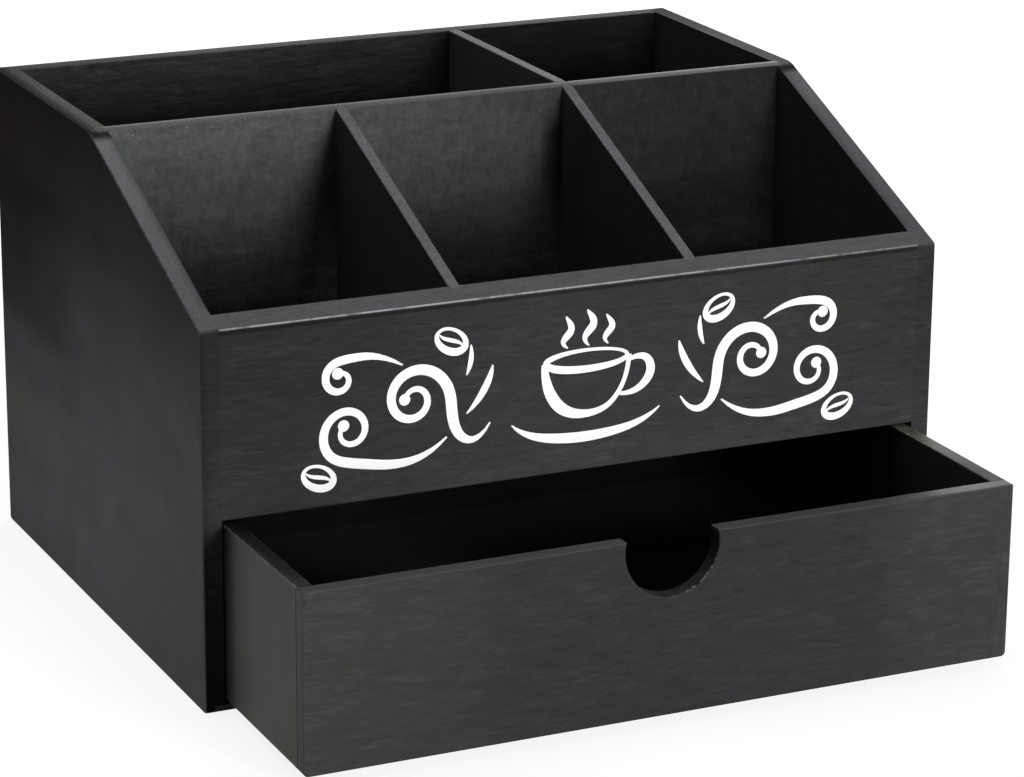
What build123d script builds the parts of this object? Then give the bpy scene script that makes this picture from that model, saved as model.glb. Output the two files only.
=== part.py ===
"""Tabletop organizer: an open wooden box with five compartments, a sloping front and a drawer.

Sizes are in millimetres and +Z is up.  The origin is the middle of the case's footprint on the
table, the drawer opens towards -Y, and it is drawn pulled out part of the way.
"""

import os
from math import atan, tan

from build123d import *

os.makedirs("parts", exist_ok=True)

# The case, outside
case_width = 310.0
case_depth = 240.0
case_height = 198.0
front_height = 149.5  # top of the front panel, where the slope starts
slope_run = 121.0  # from the front face back to where the slope is at full height
front_foot = 75.8  # underside of the front panel, above the drawer

# Boards of the case
case_stock = 8.0  # sides
cross_stock = 9.0  # front and back panels
divider_stock = 4.7
crest_lead = 2.2  # how far the long divider's face stands in front of the slope's end
floor_stock = 5.0  # floor of the compartments
base_stock = 3.0  # thin sheet that the drawer runs on
floor_lift = 2.0  # how far the compartment floor lies above the front panel's underside
rear_right_width = 95.5  # clear width of the right-hand compartment at the back
front_compartments = 3

# How the boards are let into each other
floor_housing = 2.0  # depth of the groove round the compartment floor
divider_housing = 1.5  # depth of the grooves that hold the dividers
base_rabbet = 4.0  # how far the base reaches under each side

# Drawer
drawer_pull = 78.0  # how far it stands out
drawer_stock = 6.5
drawer_sheet = 3.0  # thickness of its bottom
drawer_sheet_lift = 4.0  # from the lower edge of its walls up to the bottom sheet
drawer_groove = 2.5  # how deep the bottom sheet is let into the walls
drawer_side_room = 0.6  # running clearance beside it
drawer_foot_room = 0.8  # running clearance under it
drawer_head_room = 1.4  # clearance under the front panel
drawer_back_room = 1.0  # clearance behind it when it is shut
notch_radius = 19.2  # finger notch in the drawer's front
notch_drop = 4.1  # centre of the notch, below the top edge

# Sanded edges
edge_round = 0.8
rim_round = 1.2  # round the outer faces of the sides
front_round = 1.3  # along the top of the front panel
fine_round = 0.5  # both arrises along the top of a thin board
corner_round = 2.0  # corners of the sides and of the drawer's front
break_round = 12.0  # where a side's slope turns into its level top
crest_reach_share = 0.7  # of the crest's lead, taken up by the same turn on the long divider

# Brads: thin headed pins, driven below the surface and filled over
brad_diameter = 1.2
brad_head_diameter = 2.0
brad_head_height = 0.8
brad_length = 20.0
base_brad_length = 12.0
brad_set = 1.0  # depth of the head below the surface
base_brad_set = 0.5
brad_room = 0.05  # clearance round a brad in its hole
front_brad_shares = (0.2, 0.5, 0.8)  # up the ends of the front panel
back_brad_shares = (0.08, 0.36, 0.64, 0.92)  # up the ends of the back panel
floor_brad_shares = (0.15, 0.5, 0.85)  # along the ends of the floor
divider_brad_shares = (0.2, 0.5, 0.8)  # up the ends of a divider
base_brad_shares = (0.06, 0.35, 0.65, 0.94)  # along each side of the base
base_back_brad_shares = (0.2, 0.5, 0.8)  # across the back of the base
drawer_brad_shares = (0.25, 0.52, 0.8)  # up each corner of the drawer

# Planes of the case that the boards meet at
outer_x = case_width / 2
inner_x = outer_x - case_stock
front_y = -case_depth / 2
back_y = case_depth / 2
front_inner_y = front_y + cross_stock
back_inner_y = back_y - cross_stock
break_y = front_y + slope_run
long_front_y = break_y - crest_lead
long_back_y = long_front_y + divider_stock
slope_rise_share = (case_height - front_height) / slope_run
crest_round = crest_lead * crest_reach_share / tan(atan(slope_rise_share) / 2)
floor_z = front_foot + floor_lift
floor_top_z = floor_z + floor_stock

# Planes of the drawer
drawer_x = inner_x - drawer_side_room
drawer_inner_x = drawer_x - drawer_stock
drawer_y = front_y - drawer_pull
drawer_inner_y = drawer_y + drawer_stock
drawer_back_y = back_inner_y - drawer_back_room - drawer_pull
drawer_back_inner_y = drawer_back_y - drawer_stock
drawer_z = base_stock + drawer_foot_room
drawer_top_z = front_foot - drawer_head_room
sheet_z = drawer_z + drawer_sheet_lift

# Places of the dividers across the case
front_clear = (2 * inner_x - (front_compartments - 1) * divider_stock) / front_compartments
front_divider_x = [
    -inner_x + place * (front_clear + divider_stock) - divider_stock / 2
    for place in range(1, front_compartments)
]
rear_divider_x = inner_x - rear_right_width - divider_stock / 2


def between(low, high, share):
    """The place that lies a share of the way from one number to another."""
    return low + (high - low) * share


def slope_z(y):
    """Height of the sloping top edges at a distance from front to back."""
    return front_height + (y - front_y) * slope_rise_share


def block(low, high, mode=Mode.ADD):
    """A square-edged block between two opposite corners."""
    with Locations(tuple((a + b) / 2 for a, b in zip(low, high))):
        Box(*(b - a for a, b in zip(low, high)), mode=mode)


def corner(across, up):
    """The corner of the sketch in hand that lies nearest a point."""
    return vertices().sort_by_distance((across, up))[0]


def drive(places, inward, length, depth, room=0, mode=Mode.ADD):
    """Brads driven in at places on a face, or with room and Mode.SUBTRACT the holes for them."""
    on_end = (Align.CENTER, Align.CENTER, Align.MIN)
    with Locations([Plane(origin=place, z_dir=inward).offset(depth - room) for place in places]):
        Cylinder(brad_head_diameter / 2 + room, brad_head_height + room, align=on_end, mode=mode)
        Cylinder(brad_diameter / 2 + room, length + 2 * room, align=on_end, mode=mode)


# Where the brads go in
case_side_places = [
    (-outer_x, front_y + cross_stock / 2, between(front_foot, front_height, share))
    for share in front_brad_shares
]
case_side_places += [
    (-outer_x, back_y - cross_stock / 2, between(base_stock, case_height, share))
    for share in back_brad_shares
]
case_side_places += [
    (-outer_x, between(front_inner_y, back_inner_y, share), floor_z + floor_stock / 2)
    for share in floor_brad_shares
]
case_side_places += [
    (-outer_x, long_front_y + divider_stock / 2, between(floor_top_z, case_height, share))
    for share in divider_brad_shares
]
base_side_places = [
    (-inner_x - base_rabbet / 2, between(front_y, back_y, share), 0) for share in base_brad_shares
]
base_back_places = [
    (between(-inner_x, inner_x, share), back_y - cross_stock / 2, 0)
    for share in base_back_brad_shares
]
front_divider_places = [
    (x, front_y, between(floor_top_z, front_height, share))
    for x in front_divider_x
    for share in divider_brad_shares
]
rear_divider_places = [
    (rear_divider_x, back_y, between(floor_top_z, case_height, share))
    for share in divider_brad_shares
]
drawer_heights = [between(drawer_z, drawer_top_z, share) for share in drawer_brad_shares]
drawer_front_places = [
    (x, drawer_y, z) for x in (-drawer_x + drawer_stock / 2, drawer_x - drawer_stock / 2)
    for z in drawer_heights
]
drawer_back_places = [
    (-drawer_x, drawer_back_y - drawer_stock / 2, z) for z in drawer_heights
]

# Sides of the case, which stand on the table and each have one sloping corner
with BuildPart() as left_side_panel:
    with BuildSketch(Plane.YZ.offset(-outer_x)):
        with BuildLine():
            Polyline(
                (front_y, 0),
                (back_y, 0),
                (back_y, case_height),
                (break_y, case_height),
                (front_y, front_height),
                close=True,
            )
        make_face()
        fillet(corner(break_y, case_height), break_round)
        fillet(
            [
                corner(front_y, 0),
                corner(back_y, 0),
                corner(back_y, case_height),
                corner(front_y, front_height),
            ],
            corner_round,
        )
    extrude(amount=case_stock)
    fillet(faces().sort_by(Axis.X)[0].edges(), rim_round)
    block(
        (-inner_x - floor_housing, front_inner_y - floor_housing, floor_z),
        (-inner_x, back_inner_y + floor_housing, floor_top_z),
        Mode.SUBTRACT,
    )
    block(
        (-inner_x - divider_housing, long_front_y, floor_top_z),
        (-inner_x, long_back_y, case_height),
        Mode.SUBTRACT,
    )
    block((-inner_x - base_rabbet, front_y, 0), (-inner_x, back_y, base_stock), Mode.SUBTRACT)
    drive(case_side_places, (1, 0, 0), brad_length, brad_set, brad_room, Mode.SUBTRACT)
    drive(base_side_places, (0, 0, 1), base_brad_length, base_brad_set, brad_room, Mode.SUBTRACT)
left_side_panel.part.label = "left_side_panel"
export_step(left_side_panel.part, "parts/left_side_panel.step")

with BuildPart() as right_side_panel:
    mirror(left_side_panel.part, about=Plane.YZ)
right_side_panel.part.label = "right_side_panel"
export_step(right_side_panel.part, "parts/right_side_panel.step")

# Brads that pin the front, the back, the floor and the long divider between the sides
with BuildPart() as left_side_brads:
    drive(case_side_places, (1, 0, 0), brad_length, brad_set)
left_side_brads.part.label = "left_side_brads"
export_step(left_side_brads.part, "parts/left_side_brads.step")

with BuildPart() as right_side_brads:
    mirror(left_side_brads.part, about=Plane.YZ)
right_side_brads.part.label = "right_side_brads"
export_step(right_side_brads.part, "parts/right_side_brads.step")

with BuildPart(mode=Mode.PRIVATE) as side_brad_holes:
    drive(case_side_places, (1, 0, 0), brad_length, brad_set, brad_room)
    mirror(about=Plane.YZ)

# Front panel, whose top edge is planed to the slope of the sides
with BuildPart() as front_panel:
    with BuildSketch(Plane.YZ.offset(-inner_x)):
        with BuildLine():
            Polyline(
                (front_y, front_foot),
                (front_inner_y, front_foot),
                (front_inner_y, slope_z(front_inner_y)),
                (front_y, front_height),
                close=True,
            )
        make_face()
        fillet(corner(front_y, front_height), front_round)
        fillet(corner(front_inner_y, slope_z(front_inner_y)), fine_round)
        fillet(corner(front_y, front_foot), edge_round)
    extrude(amount=2 * inner_x)
    block(
        (-inner_x, front_inner_y - floor_housing, floor_z),
        (inner_x, front_inner_y, floor_top_z),
        Mode.SUBTRACT,
    )
    for x in front_divider_x:
        block(
            (x - divider_stock / 2, front_inner_y - divider_housing, floor_top_z),
            (x + divider_stock / 2, front_inner_y, case_height),
            Mode.SUBTRACT,
        )
    add(side_brad_holes.part, mode=Mode.SUBTRACT)
    drive(front_divider_places, (0, 1, 0), brad_length, brad_set, brad_room, Mode.SUBTRACT)
front_panel.part.label = "front_panel"
export_step(front_panel.part, "parts/front_panel.step")

# Back panel, standing on the rear edge of the base
with BuildPart() as back_panel:
    with BuildSketch(Plane.YZ.offset(-inner_x)):
        with BuildLine():
            Polyline(
                (back_inner_y, base_stock),
                (back_y, base_stock),
                (back_y, case_height),
                (back_inner_y, case_height),
                close=True,
            )
        make_face()
        fillet(corner(back_y, case_height), corner_round)
        fillet(corner(back_inner_y, case_height), fine_round)
    extrude(amount=2 * inner_x)
    block(
        (-inner_x, back_inner_y, floor_z),
        (inner_x, back_inner_y + floor_housing, floor_top_z),
        Mode.SUBTRACT,
    )
    block(
        (rear_divider_x - divider_stock / 2, back_inner_y, floor_top_z),
        (rear_divider_x + divider_stock / 2, back_inner_y + divider_housing, case_height),
        Mode.SUBTRACT,
    )
    add(side_brad_holes.part, mode=Mode.SUBTRACT)
    drive(rear_divider_places, (0, -1, 0), brad_length, brad_set, brad_room, Mode.SUBTRACT)
    drive(base_back_places, (0, 0, 1), base_brad_length, base_brad_set, brad_room, Mode.SUBTRACT)
back_panel.part.label = "back_panel"
export_step(back_panel.part, "parts/back_panel.step")

# Floor of the compartments, let into the four panels round it
with BuildPart() as compartment_floor:
    block(
        (-inner_x - floor_housing, front_inner_y - floor_housing, floor_z),
        (inner_x + floor_housing, back_inner_y + floor_housing, floor_top_z),
    )
    add(side_brad_holes.part, mode=Mode.SUBTRACT)
compartment_floor.part.label = "compartment_floor"
export_step(compartment_floor.part, "parts/compartment_floor.step")

# Base, a thin sheet between the feet of the sides
with BuildPart() as base_panel:
    with BuildSketch(Plane.YZ.offset(-inner_x - base_rabbet)):
        with BuildLine():
            Polyline(
                (front_y, 0), (back_y, 0), (back_y, base_stock), (front_y, base_stock), close=True
            )
        make_face()
        fillet([corner(front_y, 0), corner(back_y, 0)], corner_round)
    extrude(amount=2 * (inner_x + base_rabbet))
    drive(base_side_places, (0, 0, 1), base_brad_length, base_brad_set, brad_room, Mode.SUBTRACT)
    mirrored_places = [(-x, y, z) for x, y, z in base_side_places]
    drive(mirrored_places, (0, 0, 1), base_brad_length, base_brad_set, brad_room, Mode.SUBTRACT)
    drive(base_back_places, (0, 0, 1), base_brad_length, base_brad_set, brad_room, Mode.SUBTRACT)
base_panel.part.label = "base_panel"
export_step(base_panel.part, "parts/base_panel.step")

with BuildPart() as base_brads:
    drive(base_side_places, (0, 0, 1), base_brad_length, base_brad_set)
    mirror(about=Plane.YZ)
    drive(base_back_places, (0, 0, 1), base_brad_length, base_brad_set)
base_brads.part.label = "base_brads"
export_step(base_brads.part, "parts/base_brads.step")

# Long divider, the full width of the case, whose top edge takes the end of the slope
with BuildPart() as long_divider:
    with BuildSketch(Plane.YZ.offset(-inner_x - divider_housing)):
        with BuildLine():
            Polyline(
                (long_front_y, floor_top_z),
                (long_back_y, floor_top_z),
                (long_back_y, case_height),
                (break_y, case_height),
                (long_front_y, slope_z(long_front_y)),
                close=True,
            )
        make_face()
        fillet(corner(break_y, case_height), crest_round)
        fillet(corner(long_front_y, slope_z(long_front_y)), fine_round)
        fillet(corner(long_back_y, case_height), fine_round)
    extrude(amount=2 * (inner_x + divider_housing))
    for x in front_divider_x:
        block(
            (x - divider_stock / 2, long_front_y, floor_top_z),
            (x + divider_stock / 2, long_front_y + divider_housing, case_height),
            Mode.SUBTRACT,
        )
    block(
        (rear_divider_x - divider_stock / 2, long_back_y - divider_housing, floor_top_z),
        (rear_divider_x + divider_stock / 2, long_back_y, case_height),
        Mode.SUBTRACT,
    )
    add(side_brad_holes.part, mode=Mode.SUBTRACT)
long_divider.part.label = "long_divider"
export_step(long_divider.part, "parts/long_divider.step")

# Divider of the two compartments at the back
with BuildPart() as rear_divider:
    with BuildSketch(Plane.XZ.offset(divider_housing - long_back_y)):
        with BuildLine():
            Polyline(
                (rear_divider_x - divider_stock / 2, floor_top_z),
                (rear_divider_x + divider_stock / 2, floor_top_z),
                (rear_divider_x + divider_stock / 2, case_height),
                (rear_divider_x - divider_stock / 2, case_height),
                close=True,
            )
        make_face()
        fillet(vertices().group_by(Axis.Y)[-1], fine_round)
    extrude(amount=long_back_y - back_inner_y - 2 * divider_housing)
    drive(rear_divider_places, (0, -1, 0), brad_length, brad_set, brad_room, Mode.SUBTRACT)
rear_divider.part.label = "rear_divider"
export_step(rear_divider.part, "parts/rear_divider.step")

with BuildPart() as rear_divider_brads:
    drive(rear_divider_places, (0, -1, 0), brad_length, brad_set)
rear_divider_brads.part.label = "rear_divider_brads"
export_step(rear_divider_brads.part, "parts/rear_divider_brads.step")

# Dividers of the front compartments, with tops that follow the slope
front_end_y = front_inner_y - divider_housing
rear_end_y = long_front_y + divider_housing
for place, x in enumerate(front_divider_x, start=1):
    with BuildPart() as front_divider:
        with BuildSketch(Plane.YZ.offset(x - divider_stock / 2)):
            with BuildLine():
                Polyline(
                    (front_end_y, floor_top_z),
                    (rear_end_y, floor_top_z),
                    (rear_end_y, slope_z(rear_end_y)),
                    (front_end_y, slope_z(front_end_y)),
                    close=True,
                )
            make_face()
        extrude(amount=divider_stock)
        top_arrises = faces().sort_by(Axis.Z)[-1].edges().sort_by(SortBy.LENGTH)[-2:]
        fillet(top_arrises, fine_round)
        drive(front_divider_places, (0, 1, 0), brad_length, brad_set, brad_room, Mode.SUBTRACT)
    front_divider.part.label = f"front_divider_{place}"
    export_step(front_divider.part, f"parts/front_divider_{place}.step")

with BuildPart() as front_divider_brads:
    drive(front_divider_places, (0, 1, 0), brad_length, brad_set)
front_divider_brads.part.label = "front_divider_brads"
export_step(front_divider_brads.part, "parts/front_divider_brads.step")

# Drawer front, which covers the ends of the drawer's sides and has the finger notch
with BuildPart() as drawer_front:
    with BuildSketch(Plane.XZ.offset(-drawer_y)):
        with BuildLine():
            Polyline(
                (-drawer_x, drawer_z),
                (drawer_x, drawer_z),
                (drawer_x, drawer_top_z),
                (-drawer_x, drawer_top_z),
                close=True,
            )
        make_face()
        fillet(vertices().group_by(Axis.Y)[0], corner_round)
        with Locations((0, drawer_top_z - notch_drop)):
            Circle(notch_radius, mode=Mode.SUBTRACT)
    extrude(amount=-drawer_stock)
    front_rim = faces().sort_by(Axis.Y)[0].edges()
    top_edges = edges().group_by(Axis.Z)[-1]
    top_ends = top_edges.filter_by(Axis.Y).group_by(Axis.X)
    fillet(front_rim + top_ends[0] + top_ends[-1], edge_round)
    back_face = faces().sort_by(Axis.Y)[-1]
    back_top = back_face.edges().group_by(Axis.Z)[-1]
    notch_arc = back_face.edges().filter_by(GeomType.CIRCLE).sort_by(SortBy.RADIUS)[-1:]
    fillet(back_top + notch_arc, fine_round)
    block(
        (-drawer_inner_x - drawer_groove, drawer_inner_y - drawer_groove, sheet_z),
        (drawer_inner_x + drawer_groove, drawer_inner_y, sheet_z + drawer_sheet),
        Mode.SUBTRACT,
    )
    drive(drawer_front_places, (0, 1, 0), brad_length, brad_set, brad_room, Mode.SUBTRACT)
drawer_front.part.label = "drawer_front"
export_step(drawer_front.part, "parts/drawer_front.step")

with BuildPart() as drawer_front_brads:
    drive(drawer_front_places, (0, 1, 0), brad_length, brad_set)
drawer_front_brads.part.label = "drawer_front_brads"
export_step(drawer_front_brads.part, "parts/drawer_front_brads.step")

# Drawer sides
with BuildPart() as drawer_left_side:
    with BuildSketch(Plane.XZ.offset(-drawer_inner_y)):
        with BuildLine():
            Polyline(
                (-drawer_x, drawer_z),
                (-drawer_inner_x, drawer_z),
                (-drawer_inner_x, drawer_top_z),
                (-drawer_x, drawer_top_z),
                close=True,
            )
        make_face()
        fillet(corner(-drawer_x, drawer_z), corner_round)
        fillet(corner(-drawer_x, drawer_top_z), edge_round)
        fillet(corner(-drawer_inner_x, drawer_top_z), fine_round)
    extrude(amount=drawer_inner_y - drawer_back_y)
    block(
        (-drawer_inner_x - drawer_groove, drawer_inner_y, sheet_z),
        (-drawer_inner_x, drawer_back_inner_y + drawer_groove, sheet_z + drawer_sheet),
        Mode.SUBTRACT,
    )
    drive(drawer_front_places, (0, 1, 0), brad_length, brad_set, brad_room, Mode.SUBTRACT)
    drive(drawer_back_places, (1, 0, 0), brad_length, brad_set, brad_room, Mode.SUBTRACT)
drawer_left_side.part.label = "drawer_left_side"
export_step(drawer_left_side.part, "parts/drawer_left_side.step")

with BuildPart() as drawer_right_side:
    mirror(drawer_left_side.part, about=Plane.YZ)
drawer_right_side.part.label = "drawer_right_side"
export_step(drawer_right_side.part, "parts/drawer_right_side.step")

# Drawer back, between the sides
with BuildPart() as drawer_back:
    with BuildSketch(Plane.YZ.offset(-drawer_inner_x)):
        with BuildLine():
            Polyline(
                (drawer_back_inner_y, drawer_z),
                (drawer_back_y, drawer_z),
                (drawer_back_y, drawer_top_z),
                (drawer_back_inner_y, drawer_top_z),
                close=True,
            )
        make_face()
        fillet(vertices().group_by(Axis.Y)[-1], fine_round)
    extrude(amount=2 * drawer_inner_x)
    block(
        (-drawer_inner_x, drawer_back_inner_y, sheet_z),
        (drawer_inner_x, drawer_back_inner_y + drawer_groove, sheet_z + drawer_sheet),
        Mode.SUBTRACT,
    )
    drive(drawer_back_places, (1, 0, 0), brad_length, brad_set, brad_room, Mode.SUBTRACT)
    mirrored_places = [(-x, y, z) for x, y, z in drawer_back_places]
    drive(mirrored_places, (-1, 0, 0), brad_length, brad_set, brad_room, Mode.SUBTRACT)
drawer_back.part.label = "drawer_back"
export_step(drawer_back.part, "parts/drawer_back.step")

with BuildPart() as drawer_back_brads:
    drive(drawer_back_places, (1, 0, 0), brad_length, brad_set)
    mirror(about=Plane.YZ)
drawer_back_brads.part.label = "drawer_back_brads"
export_step(drawer_back_brads.part, "parts/drawer_back_brads.step")

# Drawer bottom, a sheet held in grooves on all four sides
with BuildPart() as drawer_bottom:
    block(
        (-drawer_inner_x - drawer_groove, drawer_inner_y - drawer_groove, sheet_z),
        (
            drawer_inner_x + drawer_groove,
            drawer_back_inner_y + drawer_groove,
            sheet_z + drawer_sheet,
        ),
    )
drawer_bottom.part.label = "drawer_bottom"
export_step(drawer_bottom.part, "parts/drawer_bottom.step")
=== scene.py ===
# %% [markdown]
# This notebook dresses a tabletop organizer: an open wooden box, painted black, with a sloping
# front, five compartments and a drawer that stands out part of the way.
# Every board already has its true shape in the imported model, so none is made again here. The
# notebook gives each board its paint, models what lies on the paint, and sets up the camera, the
# floor and the lamps. Loading the frame first gives the sizes that all the rest is placed by.

# %% Load the boards
import math

import bmesh
import bpy
from mathutils import Matrix, Quaternion, Vector


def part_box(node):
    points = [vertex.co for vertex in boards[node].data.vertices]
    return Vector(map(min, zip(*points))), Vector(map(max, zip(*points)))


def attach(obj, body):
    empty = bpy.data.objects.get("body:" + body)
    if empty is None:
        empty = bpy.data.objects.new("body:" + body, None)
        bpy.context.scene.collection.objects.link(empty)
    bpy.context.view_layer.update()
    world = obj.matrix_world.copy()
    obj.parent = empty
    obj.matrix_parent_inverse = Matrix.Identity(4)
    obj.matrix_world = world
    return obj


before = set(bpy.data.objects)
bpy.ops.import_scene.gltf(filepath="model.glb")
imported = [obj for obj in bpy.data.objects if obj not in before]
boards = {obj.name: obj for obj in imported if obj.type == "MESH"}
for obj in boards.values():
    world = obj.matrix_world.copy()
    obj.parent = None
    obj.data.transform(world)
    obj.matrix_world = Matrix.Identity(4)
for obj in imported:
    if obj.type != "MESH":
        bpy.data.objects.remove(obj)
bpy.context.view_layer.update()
mm = 0.001
print("boards and brads:", len(boards))

# %% [markdown]
# The camera stands to the left of the front and a little above, as a product photographer's does.
# A long lens from well back keeps the box's parallel edges nearly parallel, which a short lens
# near by would not. So the angle, the distance and the lens are all set. The camera could also be
# pointed with a Track To constraint, but a rotation worked out once has nothing left to update.

# %% Camera
camera_azimuth, camera_elevation, camera_roll = -24.95, 17.61, 0.42
camera_distance = 1.5397
camera_aim = Vector((0.0171, -0.0200, 0.0774))
camera_lens, camera_sensor = 132.24, 36.0


def in_scene(thing):
    bpy.context.scene.collection.objects.link(thing)
    return thing


def look(thing, place, aim, roll=0.0):
    """Stand a camera or a lamp at a place and point it at another."""
    thing.location = place
    thing.rotation_mode = "QUATERNION"
    level = (Vector(aim) - Vector(place)).to_track_quat("-Z", "Y")
    thing.rotation_quaternion = level @ Quaternion((0, 0, 1), math.radians(roll))


across, up = math.radians(camera_azimuth), math.radians(camera_elevation)
backwards = Vector((math.sin(across) * math.cos(up), -math.cos(across) * math.cos(up), math.sin(up)))
lens = bpy.data.cameras.new("camera")
lens.lens, lens.sensor_width = camera_lens, camera_sensor
lens.clip_start, lens.clip_end = 0.01, 50
camera = in_scene(bpy.data.objects.new("camera", lens))
look(camera, camera_aim + backwards * camera_distance, camera_aim, camera_roll)
bpy.context.scene.camera = camera
bpy.context.scene.view_settings.view_transform = "Standard"
print("camera at", [round(side, 3) for side in camera.location])

# %% [markdown]
# Every finish below is a small graph of shader nodes. Writing them out one by one takes many
# lines, so a few helpers do the wiring: one adds any node, one does arithmetic, one makes noise
# that is drawn out along an axis, and one turns a range of values into a soft mask. The noise
# reads Object coordinates. All the boards share one origin, so a pattern runs on from board to
# board, as one coat of paint does.


# %% Node helpers
def new_finish(name):
    made = bpy.data.materials.new(name)
    made.use_nodes = True
    made.node_tree.nodes.clear()
    return made, made.node_tree


def add(tree, kind, wires=None, **settings):
    """Add a node: settings are its own properties, wires its inputs, as values or as sockets."""
    made = tree.nodes.new(kind)
    for name, value in settings.items():
        setattr(made, name, value)
    for name, value in (wires or {}).items():
        if isinstance(value, bpy.types.NodeSocket):
            tree.links.new(value, made.inputs[name])
        else:
            made.inputs[name].default_value = value
    return made


def calc(tree, operation, *values):
    return add(tree, "ShaderNodeMath", dict(enumerate(values)), operation=operation).outputs[0]


def soft_step(tree, value, low, high):
    """0 below low and 1 above high, or the other way round if high is the smaller."""
    wires = {"Value": value, "From Min": low, "From Max": high}
    return add(tree, "ShaderNodeMapRange", wires, interpolation_type="SMOOTHSTEP").outputs[0]


def drawn_noise(tree, per_metre, detail=4.0, rough=0.55, swirl=0.0):
    """Noise from 0 to 1 whose patches are as fine on each axis as per_metre says."""
    place = add(tree, "ShaderNodeTexCoord").outputs["Object"]
    drawn = add(tree, "ShaderNodeMapping", {"Vector": place, "Scale": per_metre}).outputs[0]
    wires = {"Vector": drawn, "Scale": 1.0, "Detail": detail, "Roughness": rough, "Distortion": swirl}
    return add(tree, "ShaderNodeTexNoise", wires).outputs[0]


def mix_tone(tree, share, low, high):
    """A colour between two, each an RGB triple or a socket."""
    made = tree.nodes.new("ShaderNodeMix")
    made.data_type = "RGBA"
    for index, value in ((0, share), (6, low), (7, high)):
        if isinstance(value, bpy.types.NodeSocket):
            tree.links.new(value, made.inputs[index])
        else:
            made.inputs[index].default_value = value if index == 0 else (*value, 1)
    return made.outputs[2]


def grey(level):
    return (level, level, level)


# %% [markdown]
# The floor is a plain pale board. A black box needs little light, and light enough to burn the
# floor out to white would flatten it. So the white that the camera sees comes from a glow that
# only camera, gloss and glass rays meet. The floor's own colour still takes the lamps, which
# keeps the soft shadow that sets the box down on it.

# %% Floor
floor_tone, floor_half = 0.16, 6.0
floor_glow, far_glow = 0.855, 1.0
far_from, far_to = 0.35, 0.90


def seen_rays(tree):
    """1 for rays from the camera and for those that a gloss or a glass sends on."""
    path = add(tree, "ShaderNodeLightPath").outputs
    gloss = calc(tree, "MAXIMUM", path["Is Camera Ray"], path["Is Glossy Ray"])
    return calc(tree, "MAXIMUM", gloss, path["Is Transmission Ray"])


floor_finish, tree = new_finish("floor")
place = add(tree, "ShaderNodeTexCoord").outputs["Object"]
away = add(tree, "ShaderNodeVectorMath", {0: place}, operation="LENGTH").outputs["Value"]
wires = {"Value": away, "From Min": far_from, "From Max": far_to, "To Min": floor_glow, "To Max": far_glow}
glow_here = add(tree, "ShaderNodeMapRange", wires, interpolation_type="SMOOTHSTEP").outputs[0]
glow_level = calc(tree, "MULTIPLY", seen_rays(tree), glow_here)
matt = add(tree, "ShaderNodeBsdfDiffuse", {"Color": (*grey(floor_tone), 1)})
glow = add(tree, "ShaderNodeEmission", {"Color": (1, 1, 1, 1), "Strength": glow_level})
both = add(tree, "ShaderNodeAddShader", {0: matt.outputs[0], 1: glow.outputs[0]})
add(tree, "ShaderNodeOutputMaterial", {"Surface": both.outputs[0]})
bm = bmesh.new()
bmesh.ops.create_grid(bm, x_segments=1, y_segments=1, size=floor_half)
floor_mesh = bpy.data.meshes.new("floor")
bm.to_mesh(floor_mesh)
bm.free()
floor_mesh.materials.append(floor_finish)
floor = in_scene(bpy.data.objects.new("floor", floor_mesh))
print("floor tone", floor_tone, "glow", floor_glow, "to", far_glow)

# %% [markdown]
# The room is a sphere of light round everything. Lamps alone would leave the faces that they miss
# pitch black. A world that is bright for every ray would flatten the box. So the room gives a
# little light from all round, and only what the camera sees of it, or a gloss mirrors, is white.

# %% Room
room_level, room_white = 0.05, 1.0
room = bpy.data.worlds.new("room")
bpy.context.scene.world = room
room.use_nodes = True
tree = room.node_tree
tree.nodes.clear()
wires = {"Value": seen_rays(tree), "To Min": room_level, "To Max": room_white}
room_strength = add(tree, "ShaderNodeMapRange", wires).outputs[0]
sky = add(tree, "ShaderNodeBackground", {"Color": (1, 1, 1, 1), "Strength": room_strength})
add(tree, "ShaderNodeOutputWorld", {"Surface": sky.outputs[0]})
print("room level", room_level, "seen as", room_white)

# %% [markdown]
# Four soft lamps. The main one is a tall soft box at the right of the front, no higher than the
# box needs: its low angle leaves the bottoms of the compartments and the back ones dark. A wide
# panel overhead lights the top edges. A long low reflector on the left lifts the foot of the left
# side, and fades towards its top. A fourth, low behind the right corner, reaches only the two
# faces that the others miss, for whoever walks round the box. A lamp's power is worked out from
# the level that it should give at its aim, because watts alone say nothing about how bright a
# board becomes.


# %% Lamps
def soft_box(name, place, aim, width, height, level):
    """A lamp that lights a white board at its aim, square on, to this level, where 1 is white."""
    data = bpy.data.lights.new(name, "AREA")
    data.shape, data.size, data.size_y = "RECTANGLE", width, height
    data.energy = level * math.pi**2 * (Vector(place) - Vector(aim)).length_squared
    made = in_scene(bpy.data.objects.new(name, data))
    look(made, place, aim)
    made.visible_camera = False
    print(name, "watts", round(data.energy, 2))


soft_box("main_lamp", place=(0.23, -1.25, 0.30), aim=(0.0, -0.05, 0.10),
         width=0.30, height=0.42, level=0.95)
soft_box("top_lamp", place=(0.05, 0.10, 1.30), aim=(0.0, 0.0, 0.15),
         width=1.10, height=1.10, level=1.15)
soft_box("left_reflector", place=(-0.32, -0.01, 0.015), aim=(-0.155, -0.01, 0.03),
         width=0.42, height=0.03, level=3.3)
soft_box("back_lamp", place=(1.00, 1.15, 0.28), aim=(0.05, 0.05, 0.10),
         width=0.60, height=0.50, level=0.90)

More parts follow.
